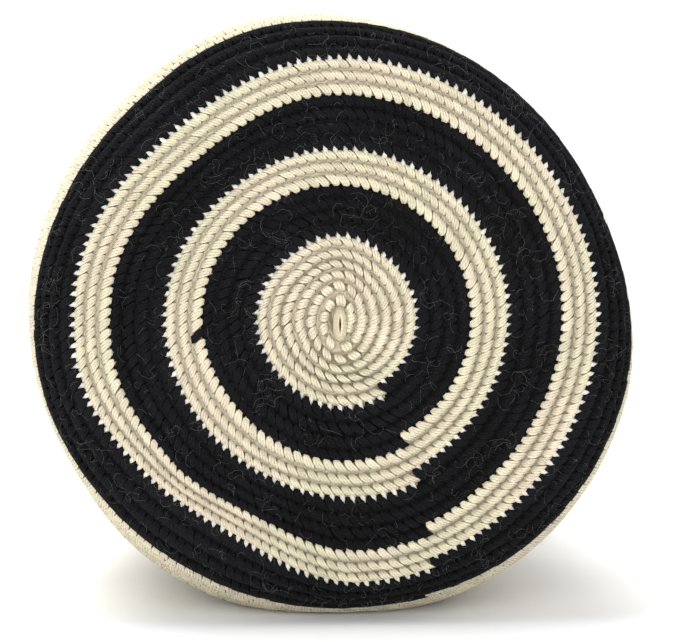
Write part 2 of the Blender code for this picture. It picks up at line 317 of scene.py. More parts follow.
@dataclass
class Mesh:
    """A mesh gathered from many small shapes, with what its yarn's material reads.

    Attributes:
        points: Arrays of vertices.
        strands: For each vertex, its distance along its strand and its place across it.
        tones_and_shades: For each vertex, its stitch's own tone, from 0 to 1, less painted shade where
            the stitch lies in the groove between rounds.
        quads: Arrays of four-cornered faces.
        triangles: Arrays of three-cornered faces.
    """

    points: list = field(default_factory=list)
    strands: list = field(default_factory=list)
    tones_and_shades: list = field(default_factory=list)
    quads: list = field(default_factory=list)
    triangles: list = field(default_factory=list)
    count: int = 0

    def add(self, points: np.ndarray, strands: np.ndarray, tones_and_shades: np.ndarray,
            quads: np.ndarray, triangles: np.ndarray) -> None:
        """Adds copies of one small shape.

        Args:
            points: Vertices, as copies by vertices by 3.
            strands: The same shape of array, for the strand's own coordinates.
            tones_and_shades: One tone for each copy, or one for each vertex of each copy, with any
                painted shade taken off it.
            quads: One copy's four-cornered faces.
            triangles: One copy's three-cornered faces.
        """
        copies, each = points.shape[:2]
        starts = self.count + np.arange(copies)[:, None, None] * each
        self.points.append(points.reshape(-1, 3))
        self.strands.append(strands.reshape(-1, 3))
        self.tones_and_shades.append(np.broadcast_to(tones_and_shades.reshape(copies, -1), (copies, each)).ravel())
        self.quads.append((quads[None] + starts).reshape(-1, 4))
        self.triangles.append((triangles[None] + starts).reshape(-1, 3))
        self.count += copies * each

    def build(self, name: str, material: bpy.types.Material) -> bpy.types.Object:
        """Makes the object.

        Args:
            name: The piece's name.
            material: Its yarn.

        Returns:
            The object, smooth shaded.
        """
        quads = np.concatenate(self.quads) if self.quads else np.zeros((0, 4), int)
        triangles = np.concatenate(self.triangles) if self.triangles else np.zeros((0, 3), int)
        corners = np.concatenate([quads.ravel(), triangles.ravel()])
        starts = np.concatenate([np.arange(len(quads)) * 4,
                                 len(quads) * 4 + np.arange(len(triangles)) * 3])
        mesh = bpy.data.meshes.new(name)
        mesh.vertices.add(self.count)
        points = np.concatenate(self.points)
        points[:, 2] = np.maximum(points[:, 2], ABOVE_FLOOR)
        mesh.vertices.foreach_set("co", points.astype(np.float32).ravel())
        mesh.loops.add(len(corners))
        mesh.loops.foreach_set("vertex_index", corners.astype(np.int32))
        mesh.polygons.add(len(starts))
        mesh.polygons.foreach_set("loop_start", starts.astype(np.int32))
        mesh.update(calc_edges=True)
        strand = mesh.attributes.new("strand", "FLOAT_VECTOR", "POINT")
        strand.data.foreach_set("vector", np.concatenate(self.strands).astype(np.float32).ravel())
        tone_and_shade = mesh.attributes.new("tone_and_shade", "FLOAT", "POINT")
        tone_and_shade.data.foreach_set("value", np.concatenate(self.tones_and_shades).astype(np.float32))
        mesh.shade_smooth()
        mesh.materials.append(material)
        made = bpy.data.objects.new(name, mesh)
        bpy.context.scene.collection.objects.link(made)
        return made


def tube_faces(rings: int, sides: int) -> tuple:
    """Faces of a tube closed by a point at each end.

    Args:
        rings: Rings of vertices along it.
        sides: Vertices in each ring.

    Returns:
        Four-cornered faces, and three-cornered faces. The two end points come last.
    """
    ring, side = np.meshgrid(np.arange(rings - 1), np.arange(sides), indexing="ij")
    after = (side + 1) % sides
    quads = np.stack([ring * sides + side, ring * sides + after,
                      (ring + 1) * sides + after, (ring + 1) * sides + side], axis=-1)
    one = np.arange(sides)
    nxt = (one + 1) % sides
    first, last = rings * sides, rings * sides + 1
    head = np.stack([nxt, one, np.full(sides, first)], axis=-1)
    low = (rings - 1) * sides
    tail = np.stack([low + one, low + nxt, np.full(sides, last)], axis=-1)
    return quads.reshape(-1, 4), np.concatenate([head, tail])


def carried(side: np.ndarray, ahead: np.ndarray) -> np.ndarray:
    """Carries a sideways direction along a line without letting it spin.

    Args:
        side: The direction at the line's start.
        ahead: The line's own directions.

    Returns:
        The direction at each of the line's points.
    """
    carried_on = [unit(side)]
    for way in ahead[1:]:
        last = carried_on[-1]
        carried_on.append(unit(last - way * (last @ way)))
    return np.array(carried_on)


def line_length(line: np.ndarray) -> float:
    """The length of a line of points."""
    return float(np.linalg.norm(np.diff(line, axis=0), axis=1).sum())


def strand_tube(line: np.ndarray, radius: np.ndarray, sides: int) -> tuple:
    """A closed tube along a line.

    Args:
        line: Points on its middle line.
        radius: Its radius at each point, or one radius.
        sides: Vertices round it.

    Returns:
        Its vertices and strand coordinates, each with the two end points last.
    """
    line = np.asarray(line, float)
    radius = np.broadcast_to(radius, len(line))
    ahead = unit(np.gradient(line, axis=0))
    side = np.cross(ahead[0], UP)
    if np.linalg.norm(side) < 0.1:
        side = np.cross(ahead[0], ACROSS)
    side = carried(side, ahead)
    other = np.cross(ahead, side)
    turn = np.arange(sides) * FULL_TURN / sides
    across, up = np.cos(turn)[None, :, None], np.sin(turn)[None, :, None]
    ring = (across * side[:, None] + up * other[:, None]) * radius[:, None, None]
    lengths = np.concatenate([[0], np.cumsum(np.linalg.norm(np.diff(line, axis=0), axis=1))])
    own = np.stack(np.broadcast_arrays(lengths[:, None], across[..., 0] * radius[:, None],
                                       up[..., 0] * radius[:, None]), axis=-1)
    ends = np.array([line[0] - ahead[0] * radius[0] * 0.6, line[-1] + ahead[-1] * radius[-1] * 0.6])
    end_own = np.array([[0, 0, 0], [lengths[-1], 0, 0]], float)
    points = np.concatenate([(line[:, None] + ring).reshape(-1, 3), ends])
    return points, np.concatenate([own.reshape(-1, 3), end_own])


def add_strand(mesh: Mesh, line: np.ndarray, radius: float, sides: int, tone_and_shade: float) -> None:
    """Adds one strand of yarn along a line to a mesh."""
    points, own = strand_tube(line, radius, sides)
    quads, triangles = tube_faces(len(line), sides)
    mesh.add(points[None], own[None], np.array([tone_and_shade]), quads, triangles)


def smooth_line(points: Sequence, step: float) -> np.ndarray:
    """Points a step apart on a smooth curve through the given ones.

    Args:
        points: The route, as rows of x, y, z.
        step: The distance between the points returned.

    Returns:
        The evenly spaced points.
    """
    route = np.asarray(points, float)
    padded = np.vstack([route[:1], route, route[-1:]])
    share = (np.arange(CURVE_SAMPLES) / CURVE_SAMPLES)[:, None]
    parts = []
    for before, start, end, after in zip(padded, padded[1:], padded[2:], padded[3:]):
        parts.append(0.5 * (2 * start + (end - before) * share
                            + (2 * before - 5 * start + 4 * end - after) * share ** 2
                            + (3 * start - before - 3 * end + after) * share ** 3))
    fine = np.vstack(parts + [route[-1:]])
    lengths = np.concatenate([[0], np.cumsum(np.linalg.norm(np.diff(fine, axis=0), axis=1))])
    wanted = np.linspace(0, lengths[-1], round(lengths[-1] / step) + 1)
    return np.stack([np.interp(wanted, lengths, fine[:, axis]) for axis in range(3)], axis=-1)


class Nodes:
    """Short ways to add a material's nodes."""

    def __init__(self, name: str) -> None:
        """Makes a material with only its shader and output."""
        self.material = bpy.data.materials.new(name)
        self.material.use_nodes = True
        self.tree = self.material.node_tree
        self.shader = self.tree.nodes["Principled BSDF"]

    def add(self, kind: str, settings: dict | None = None, **inputs: object) -> bpy.types.Node:
        """Adds a node.

        Args:
            kind: The node's type, without ShaderNode.
            settings: Properties to set on it.
            **inputs: Socket names, with _ for a space, or _ and a number, and what each is set to
                or linked from.

        Returns:
            The node.
        """
        node = self.tree.nodes.new("ShaderNode" + kind)
        for key, value in (settings or {}).items():
            setattr(node, key, value)
        for key, value in inputs.items():
            name = int(key[1:]) if key[1:].isdigit() else key.replace("_", " ")
            self.put(node.inputs[name], value)
        return node

    def put(self, socket: bpy.types.NodeSocket, value: object) -> None:
        """Links a socket from another, or sets it."""
        if isinstance(value, bpy.types.NodeSocket):
            self.tree.links.new(value, socket)
        else:
            socket.default_value = value

    def math(self, operation: str, *values: object) -> bpy.types.NodeSocket:
        """One sum on numbers."""
        node = self.tree.nodes.new("ShaderNodeMath")
        node.operation = operation
        for socket, value in zip(node.inputs, values):
            self.put(socket, value)
        return node.outputs[0]

    def mix(self, share: object, first: object, second: object) -> bpy.types.NodeSocket:
        """A colour between two, by a share."""
        node = self.tree.nodes.new("ShaderNodeMix")
        node.data_type = "RGBA"
        self.put(node.inputs[0], share)
        self.put(node.inputs[6], first)
        self.put(node.inputs[7], second)
        return node.outputs[2]

    def noise(self, scale: float, detail: float = 2.0, where: object = None) -> bpy.types.NodeSocket:
        """A soft random pattern in the object's own space."""
        node = self.tree.nodes.new("ShaderNodeTexNoise")
        node.inputs["Scale"].default_value = scale
        node.inputs["Detail"].default_value = detail
        place = where or self.add("TexCoord").outputs["Object"]
        self.put(node.inputs["Vector"], place)
        return node.outputs["Fac"]

    def span(self, value: object, low: float, high: float) -> bpy.types.NodeSocket:
        """0 below low and 1 above high, smooth between."""
        node = self.tree.nodes.new("ShaderNodeMapRange")
        node.interpolation_type = "SMOOTHSTEP"
        self.put(node.inputs["Value"], value)
        node.inputs["From Min"].default_value = low
        node.inputs["From Max"].default_value = high
        return node.outputs["Result"]


@dataclass(frozen=True)
class YarnFinish:
    """How one yarn looks: plied strands with soft fibres, in a shade that drifts a little.

    Attributes:
        name: The material's name.
        light: Colour of the lit side of a clean strand.
        dark: Colour of the painted shade deep between strands and in the twist's grooves.
        warm: A second shade that drifts over the work.
        fibre: Colour of the loose fibres on it.
        fibre_share: How much of the surface the fibres cover.
        plies: Strands twisted together.
        pitch: Length of one twist, in metres.
        ply_depth: Height of the twist's ridges, in metres.
        sheen: How much light the nap catches.
        rough: The shader's roughness.
        gloss: The shader's specular level.
        ply_shade: How dark the painted shade in the twist's grooves is.
        painted_flank_shade: How dark the painted shade on a strand's flanks is, on work whose strands
            all face outwards.
    """

    name: str
    light: tuple
    dark: tuple
    warm: tuple
    fibre: tuple
    fibre_share: float = 0.3
    plies: int = 3
    pitch: float = 0.0042
    ply_depth: float = 0.00022
    sheen: float = 0.25
    rough: float = 0.9
    gloss: float = 0.18
    ply_shade: float = 0.55
    painted_flank_shade: float = 0.0

    def make(self) -> bpy.types.Material:
        """Builds the material.

        Returns:
            The material, with its ply, fibres, drift of shade, and painted shade in the twist's
            grooves and on the strands' flanks.
        """
        nodes = Nodes(self.name)
        strand = nodes.add("Attribute", {"attribute_name": "strand"}).outputs["Vector"]
        parts = nodes.add("SeparateXYZ", Vector=strand).outputs
        tone_and_shade = nodes.add("Attribute", {"attribute_name": "tone_and_shade"}).outputs["Fac"]
        round_it = nodes.math("MULTIPLY", nodes.math("ARCTAN2", parts[2], parts[1]), float(self.plies))
        twist = nodes.math("MULTIPLY", parts[0], FULL_TURN / self.pitch * self.plies)
        wobble = nodes.math("MULTIPLY", nodes.noise(WOBBLE_SCALE), 2.2)
        phase = nodes.math("ADD", nodes.math("ADD", round_it, twist), wobble)
        ply = nodes.math("MULTIPLY_ADD", nodes.math("SINE", phase), 0.5, 0.5)
        nap = nodes.noise(NAP_SCALE, 3.0)
        patch = nodes.span(nodes.noise(DRIFT_SCALE), 0.36, 0.64)
        shade = nodes.mix(patch, (*self.light, 1), (*self.warm, 1))
        # Painted shade: the twist's grooves, and the flanks of strands that face outwards, are mixed
        # towards the dark colour.
        depth = nodes.math("MULTIPLY", nodes.span(ply, 0.35, 0.0), self.ply_shade)
        radius = nodes.math("SQRT", nodes.math("ADD", nodes.math("MULTIPLY", parts[1], parts[1]),
                                               nodes.math("MULTIPLY", parts[2], parts[2])))
        facing = nodes.math("DIVIDE", parts[2], nodes.math("MAXIMUM", radius, 0.00001))
        side = nodes.math("MULTIPLY", nodes.span(facing, 0.80, 0.15), self.painted_flank_shade)
        depth = nodes.math("MAXIMUM", depth, side)
        shade = nodes.mix(depth, shade, (*self.dark, 1))
        # The per-vertex attribute carries each stitch's random tone, less the painted shade of the
        # groove between rounds; it scales the colour's value.
        tone = nodes.math("MULTIPLY_ADD", tone_and_shade, 0.22, 0.89)
        toned = nodes.add("HueSaturation", Value=tone, Color=shade).outputs["Color"]
        loose = nodes.span(nodes.noise(FIBRE_SCALE, 2.0), 0.56, 0.72)
        fibres = nodes.math("MULTIPLY", loose, self.fibre_share)
        nodes.put(nodes.shader.inputs["Base Color"], nodes.mix(fibres, toned, (*self.fibre, 1)))
        nodes.shader.inputs["Roughness"].default_value = self.rough
        nodes.shader.inputs["Sheen Weight"].default_value = self.sheen
        nodes.shader.inputs["Sheen Roughness"].default_value = 0.55
        nodes.shader.inputs["Specular IOR Level"].default_value = self.gloss
        height = nodes.math("ADD", nodes.math("MULTIPLY", ply, self.ply_depth),
                            nodes.math("MULTIPLY", nap, 0.00018))
        bump = nodes.add("Bump", Height=height, Strength=0.9, Distance=1.0)
        nodes.put(nodes.shader.inputs["Normal"], bump.outputs["Normal"])
        return nodes.material


@dataclass(frozen=True)
class CoreFinish:
    """The sheet behind the stitches, with the crochet's inside seen from within the bag."""

    name: str
    colour: tuple
    deep: tuple

    def make(self) -> bpy.types.Material:
        """Builds the material.

        Returns:
            The material, with the rows of small bars that crochet shows inside, and painted shade in
            the hollows between them.
        """
        nodes = Nodes(self.name)
        strand = nodes.add("Attribute", {"attribute_name": "strand"}).outputs["Vector"]
        parts = nodes.add("SeparateXYZ", Vector=strand).outputs
        row = nodes.math("MULTIPLY_ADD", nodes.math("SINE", parts[0]), 0.5, 0.5)
        slant = nodes.math("ADD", parts[1], nodes.math("MULTIPLY", parts[0], 0.5))
        bar = nodes.math("MULTIPLY_ADD", nodes.math("SINE", slant), 0.5, 0.5)
        bar = nodes.math("MULTIPLY_ADD", bar, 0.6, 0.4)
        stitch = nodes.math("MULTIPLY", nodes.math("POWER", row, 0.6), bar)
        # Painted shade: the hollows between the bars take the deep colour.
        shade = nodes.mix(nodes.span(stitch, 0.05, 0.5), (*self.deep, 1), (*self.colour, 1))
        nodes.put(nodes.shader.inputs["Base Color"], shade)
        nodes.shader.inputs["Roughness"].default_value = 0.95
        nodes.shader.inputs["Specular IOR Level"].default_value = 0.1
        height = nodes.math("ADD", nodes.math("MULTIPLY", stitch, 0.0012),
                            nodes.math("MULTIPLY", nodes.noise(1800.0), 0.0002))
        bump = nodes.add("Bump", Height=height, Strength=1.0, Distance=1.0)
        nodes.put(nodes.shader.inputs["Normal"], bump.outputs["Normal"])
        return nodes.material


# Every yarn paints shade into its twist's grooves; the cream yarn also paints shade on its strands'
# flanks.
CREAM_FINISH = YarnFinish("cream_yarn", (0.712, 0.655, 0.466), (0.36, 0.30, 0.185),
                          (0.752, 0.650, 0.495), (0.85, 0.79, 0.64), fibre_share=0.35,
                          ply_shade=0.35, painted_flank_shade=0.75)
DRAWN_FINISH = YarnFinish("drawn_cream_yarn", (0.62, 0.60, 0.52), (0.42, 0.40, 0.34),
                          (0.62, 0.59, 0.53), (0.72, 0.70, 0.64))
BLACK_FINISH = YarnFinish("black_yarn", (0.0062, 0.0062, 0.0070), (0.0012, 0.0012, 0.0014),
                          (0.0085, 0.0085, 0.0100), (0.030, 0.030, 0.032), fibre_share=0.45,
                          sheen=0.02, gloss=0.05)
HAIR_FINISH = YarnFinish("loose_hair", (0.16, 0.155, 0.15), (0.10, 0.10, 0.10), (0.22, 0.21, 0.20),
                         (0.30, 0.29, 0.28))
STRAP_FINISH = YarnFinish("strap_yarn", (0.67, 0.59, 0.45), (0.34, 0.28, 0.18),
                          (0.69, 0.60, 0.45), (0.80, 0.74, 0.62), plies=2, pitch=0.0060)
CORD_FINISH = YarnFinish("cord_yarn", (0.66, 0.58, 0.44), (0.33, 0.27, 0.18),
                         (0.68, 0.60, 0.45), (0.80, 0.74, 0.62), pitch=0.0050)
TASSEL_FINISH = YarnFinish("tassel_yarn", (0.69, 0.61, 0.47), (0.36, 0.30, 0.20),
                           (0.71, 0.62, 0.46), (0.82, 0.76, 0.64), plies=2, pitch=0.0032)
BINDING_FINISH = YarnFinish("binding_yarn", (0.012, 0.012, 0.014), (0.003, 0.003, 0.003),
                            (0.014, 0.014, 0.017), (0.05, 0.05, 0.055), fibre_share=0.4,
                            sheen=0.05)
# The cream core is a darker cream than the yarn, painted shade for the gaps behind the stitches; each
# core's deep colour is painted shade between the inside's bars.
CREAM_CORE = CoreFinish("cream_core", (0.50, 0.43, 0.31), (0.22, 0.18, 0.11))
BLACK_CORE = CoreFinish("black_core", (0.008, 0.008, 0.009), (0.002, 0.002, 0.002))


@dataclass(frozen=True)
class StitchForm:
    """A stitch's shape, as a few plied strands side by side.

    The strands rise from the stitch's foot, spread into a plump ridge that leans counterclockwise,
    and dive to the shoulder. Sizes are shares of the round's height or of the stitch's width, or
    metres. deep and foot_deep say how much painted shade darkens the two ends, where they lie in
    the groove between two rounds.
    """

    strands: int = 3
    rings: int = 6
    sides: int = 5
    foot: float = -0.58
    shoulder: float = 0.54
    gather: float = 0.42
    close: float = 0.50
    lean: float = 0.84
    plump: float = 0.60
    rise: float = 0.0024
    dip: float = 0.0014
    dive: float = 0.0019
    crest: float = 0.94
    deep: float = 3.3
    foot_deep: float = 2.6
    uneven: float = 1.0

    def strand(self, number: int) -> tuple:
        """One strand, in a stitch's own measures.

        Args:
            number: Which strand, counted clockwise to counterclockwise.

        Returns:
            Heights in rounds, sideways places and the lean in widths, lifts in metres, half
            thicknesses in widths, and how much painted shade darkens it, for the middle line's points.
        """
        share = np.linspace(0, 1, self.rings)
        height = self.foot + (self.shoulder - self.foot) * share
        place = (number - (self.strands - 1) / 2) / self.strands
        spread = self.gather + (1 - self.gather) * smooth(share * 3.2)
        spread = spread - (1 - self.close) * smooth((share - 0.55) / 0.45)
        lean = self.lean * (smooth(share) - 0.45)
        arch = self.rise * np.sin(math.pi * np.clip(share / self.crest, 0, 1))
        lift = arch - self.dip - (self.dive - self.dip) * smooth((share - 0.35) / 0.45)
        wide = self.plump / self.strands * (0.82 + 0.20 * np.sin(math.pi * share))
        # Painted shade: the shoulder end and the foot end darken where they lie in the groove between
        # rounds.
        shade = self.deep * smooth((share - 0.60) / 0.40)
        shade = shade + self.foot_deep * smooth((0.30 - share) / 0.30)
        return height, place * spread, lean, lift, wide, shade


CREAM_STITCH = StitchForm()
CREAM_FOOT = StitchForm(foot=-0.74, gather=0.34, lean=0.80, dip=0.0006, foot_deep=0.0)
BLACK_STITCH = StitchForm(rings=5, sides=4, plump=0.66)
BLACK_FOOT = StitchForm(rings=5, sides=4, foot=-0.74, gather=0.34, lean=0.80, plump=0.66,
                        dip=0.0006, foot_deep=0.0)
EDGE_STITCH = StitchForm(rings=4, sides=4, gather=0.66, close=1.0, plump=0.64, deep=1.2,
                         foot_deep=1.0)
WALL_STITCH = StitchForm(strands=2, rings=3, sides=4, foot=-0.72, shoulder=0.60, gather=0.35,
                         close=1.0, lean=0.95,
                         plump=0.64, rise=0.00205, dip=0.0006, dive=0.0017, crest=0.84, deep=0.8,
                         foot_deep=0.0)


@dataclass(frozen=True)
class LoopForm:
    """The top of a stitch's loop, which shows between two feet of the round above.

    Sizes are shares of the round's height or of the stitch's width, or metres.
    """

    start: float = -0.86
    reach: float = 0.70
    sideways: float = 0.06
    lean: float = 0.20
    lift: float = -0.0002
    wide: float = 0.29
    tip: float = 0.03
    uneven: float = 1.6
    # How much painted shade darkens the loop where it sits in a groove.
    deep: float = 0.0
    strands: int = 1
    rings: int = 5
    sides: int = 6

    def strand(self, number: int) -> tuple:
        """Its one strand, in the measures that StitchForm.strand gives."""
        share = np.linspace(number, number + 1, self.rings)
        height = self.start + self.reach * share
        lift = self.lift + 0.0005 * np.sin(math.pi * share)
        wide = self.wide * (1 - share) ** 0.75 + self.tip
        same = np.ones(self.rings)
        return height, self.sideways * same, self.lean * share, lift, wide, self.deep * same


POINTED_LOOP = LoopForm()
# The top loops sit in the groove between rounds, so they are darkened with painted shade.
TOP_LOOP = LoopForm(start=-0.76, reach=0.50, lift=-0.0021, wide=0.27, tip=0.10, uneven=0.8,
                    deep=2.4, rings=4, sides=4)


@dataclass
class Rounds:
    """Works rounds of stitches over the fabric's shape.

    Attributes:
        fabric: The shape that they lie on.
        holes: Middles of the eyelets, as distances along the fabric and angles.
        stitch_width: How wide a stitch is, in metres.
        first_width: How wide the stitches of the first round are.
        full_round: The round by which stitches have come to stitch_width.
        hole_radius: How near an eyelet's middle no stitch is worked.
        level: How far the sheet that stitches rise from is off the fabric's outside.
        upright_reach: How far from the middle stitches come to their full lean.
        least_lean: The share of it that they have in the middle.
        stray: How far a stitch strays from its place, in its own widths and heights.
        raised: How far it strays off the fabric, in metres.
        slipped_round: The round with one stitch worked in the other yarn.
        slipped_angle: Where that stitch is.
    """

    fabric: Fabric
    holes: list
    stitch_width: float = 0.0041
    first_width: float = 0.0042
    full_round: int = 9
    hole_radius: float = 0.0062
    level: float = -0.0016
    upright_reach: float = 0.024
    least_lean: float = 0.20
    stray: float = 0.022
    raised: float = 0.00009
    slipped_round: int = 10
    slipped_angle: float = math.radians(187)

    def width_at(self, index: int) -> float:
        """How wide the stitches of a round are."""
        share = min(index / self.full_round, 1.0)
        return self.first_width + (self.stitch_width - self.first_width) * share

    def places(self, first: int, last: int, yarns: set) -> dict:
        """The middle of every stitch in a run of rounds.

        Args:
            first: The first round.
            last: The round after the last one.
            yarns: The yarns whose stitches are wanted.

        Returns:
            Arrays named along, angle, height, width and turns.
        """
        rounds = self.fabric.round_heights()
        edges = self.fabric.round_edges()
        found = {key: [] for key in ("along", "angle", "height", "width", "turns")}
        for index in range(first, last):
            height, yarn = rounds[index]
            girth = self.fabric.girth(edges[index] + height * 0.6)
            count = max(6, round(girth / self.width_at(index)))
            turns = index + (np.arange(count) + 0.5) / count
            low, angle = self.fabric.spiral(turns)
            angle = angle % FULL_TURN
            wanted = np.full(count, yarn in yarns)
            if index == self.slipped_round:
                slipped = np.argmin(np.abs(angle - self.slipped_angle))
                wanted[slipped] = yarns != {yarn}
            for key, value in (("turns", turns), ("along", low + height * 0.5), ("angle", angle),
                               ("height", np.full(count, height)),
                               ("width", np.full(count, girth / count))):
                found[key].append(value[wanted])
        stitches = {key: np.concatenate(value) for key, value in found.items()}
        keep = np.ones(len(stitches["along"]), bool)
        for along, angle in self.holes:
            middle = self.fabric.point(along, angle)
            away = self.fabric.point(stitches["along"], stitches["angle"]) - middle
            keep &= np.linalg.norm(away, axis=1) > self.hole_radius
        return {key: value[keep] for key, value in stitches.items()}

    def lay(self, mesh: Mesh, stitches: dict, strand: tuple, sides: int, own: np.ndarray) -> None:
        """Lays one strand over every stitch.

        Args:
            mesh: Where the strands go.
            stitches: What places() gave.
            strand: What StitchForm.strand gave.
            sides: Vertices round the strand.
            own: Three small random numbers for each stitch: its shifts and its shade.
        """
        height, place, lean, lift, wide, deep = strand
        count = len(stitches["along"])
        ease = np.clip(stitches["along"] / self.upright_reach, self.least_lean, 1.0)
        sideways = place[None] + lean[None] * ease[:, None]
        turn = (np.arange(sides) + 0.5) * FULL_TURN / sides
        width = stitches["width"][:, None, None]
        tall = stitches["height"][:, None, None]
        shift = self.stray * own[:, 0][:, None, None] * width
        nudge = self.stray * own[:, 1][:, None, None] * tall
        raise_by = self.raised * own[:, 2][:, None, None]
        ring_wide = wide[None, :, None] * width + 0 * raise_by
        across = sideways[:, :, None] * width + shift + np.cos(turn)[None, None] * ring_wide
        up = height[None, :, None] * tall + nudge + 0 * across
        out = lift[None, :, None] + raise_by + np.sin(turn)[None, None] * ring_wide * 0.92
        places = [[axis.reshape(count, -1)] for axis in (across, up, out)]
        for at, push in ((0, -0.5), (-1, 0.5)):
            places[0].append(sideways[:, at][:, None] * width[:, :, 0] + shift[:, :, 0])
            places[1].append(height[at] * tall[:, :, 0] + nudge[:, :, 0] + push * ring_wide[:, at])
            places[2].append(lift[at] + raise_by[:, :, 0])
        points = self.on_fabric(stitches, *(np.concatenate(axis, axis=1) for axis in places))
        strand_wide = np.broadcast_to(ring_wide, (count, len(height), sides))
        strand_along = np.broadcast_to(height[None, :, None] * tall, strand_wide.shape)
        strand_along = strand_along + 0.01 * own[:, :1, None]
        laid = [strand_along, np.cos(turn) * strand_wide, np.sin(turn) * strand_wide]
        laid = np.stack(laid, axis=-1).reshape(count, -1, 3)
        laid = np.concatenate([laid, laid[:, :1], laid[:, -1:]], axis=1)
        quads, triangles = tube_faces(len(height), sides)
        # Painted shade: the groove ends of each strand are taken off the stitch's random tone.
        darker = np.concatenate([np.repeat(deep, sides), deep[:1], deep[-1:]])
        shade = np.clip(0.5 + 0.22 * own[:, 2:], 0, 1) - darker[None]
        mesh.add(points, laid, shade, quads, triangles[:sides])

    def on_fabric(self, stitches: dict, across: np.ndarray, up: np.ndarray,
                  out: np.ndarray) -> np.ndarray:
        """Takes points from stitches' own measures onto the fabric.

        Args:
            stitches: What places() gave.
            across: Distances sideways from each stitch's middle, as stitches by points.
            up: The same, towards the rim.
            out: The same, off the sheet.

        Returns:
            The points, in the row frame.
        """
        along, angle = stitches["along"][:, None], stitches["angle"][:, None]
        here = self.fabric.point(along, angle)
        beside = self.fabric.point(along, angle + 2 * ANGLE_STEP)
        girth = np.linalg.norm(beside - here, axis=-1) / (2 * ANGLE_STEP)
        reach = np.maximum(along + up, 0.0002)
        near_middle = np.clip(reach / np.maximum(along, 0.0005), 0.55, 1.2)
        bend = np.where(along < 0.02, near_middle, 1.0)
        turned = angle + across / np.maximum(girth * bend, 0.0012)
        surface = self.fabric.point(reach, turned)
        normal = self.fabric.normal(along[:, 0], angle[:, 0])[:, None]
        return surface + normal * (self.level + out)[..., None]

    def work(self, name: str, runs: list, yarn: bpy.types.Material, seed: int) -> bpy.types.Object:
        """Makes one piece of many stitches.

        Args:
            name: The piece's name.
            runs: Pairs of what places() gave and the StitchForm or LoopForm that it is worked in.
            yarn: Its material.
            seed: What its unevenness is drawn from.

        Returns:
            The piece.
        """
        rng = np.random.default_rng(seed)
        mesh = Mesh()
        for stitches, form in runs:
            own = rng.normal(0, form.uneven, (len(stitches["along"]), 3))
            for number in range(form.strands):
                self.lay(mesh, stitches, form.strand(number), form.sides, own)
        return mesh.build(name, yarn)

    def gather(self, indexes: list, yarns: set) -> dict:
        """What places() gives, for rounds that aren't next to each other."""
        parts = [self.places(index, index + 1, yarns) for index in indexes]
        return {key: np.concatenate([part[key] for part in parts]) for key in parts[0]}


def dress(piece: bpy.types.Object, slot: str, *nodes: str) -> bpy.types.Object:
    """Rides a piece on the bag, and hides the frame nodes that it stands for."""
    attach(piece, "root")
    if nodes:
        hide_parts(*nodes)
    faces = len(piece.data.polygons) if piece.type == "MESH" else 0
    LOG.info("%s: %d faces", piece.name, faces)
    return piece


